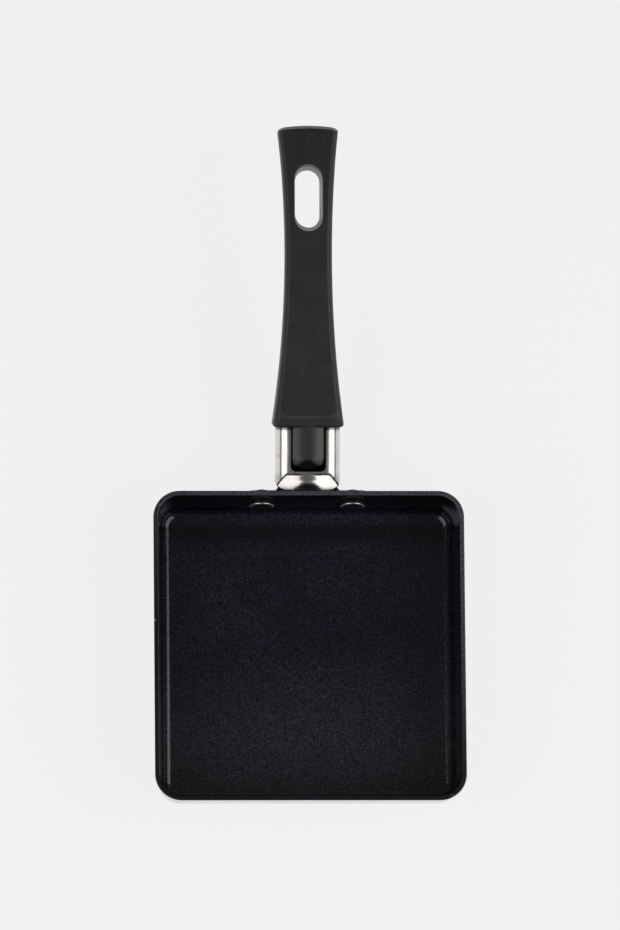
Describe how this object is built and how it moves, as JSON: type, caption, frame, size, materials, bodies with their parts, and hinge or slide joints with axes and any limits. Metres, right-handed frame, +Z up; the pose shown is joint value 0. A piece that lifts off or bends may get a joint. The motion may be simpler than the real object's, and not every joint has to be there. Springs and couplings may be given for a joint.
{
  "type": "tamagoyaki pan",
  "caption": "Small square rolled-omelette pan with a black non-stick body, a riveted bracket, a polished steel flame guard and a black moulded handle with a hang hole.",
  "frame": {"origin": "centre of the pan's underside, the face that it stands on", "axes": "+Z up, +Y from the pan towards the handle's end, +X to the right seen from the front with the handle away from the viewer"},
  "size_m": [0.1398, 0.3037, 0.0552],
  "materials": {
    "nonstick_coat": "black non-stick coating with fine metallic flecks over pressed aluminium, satin",
    "rivet_coat": "black coated aluminium, worn bright at the bevel",
    "bracket_coat": "black coated die-cast aluminium, satin",
    "polished_steel": "polished stainless steel",
    "phenolic": "black moulded phenolic, fine matte grain",
    "zinc_steel": "zinc plated steel",
    "spring_steel": "dark spring steel"
  },
  "bodies": {
    "root": {"pan_body": "nonstick_coat", "rivet_left": "rivet_coat", "rivet_right": "rivet_coat", "handle_bracket": "bracket_coat", "flame_guard": "polished_steel", "handle_grip": "phenolic", "handle_screw": "zinc_steel", "spring_washer": "spring_steel", "flat_washer": "zinc_steel"}
  },
  "joints": []
}
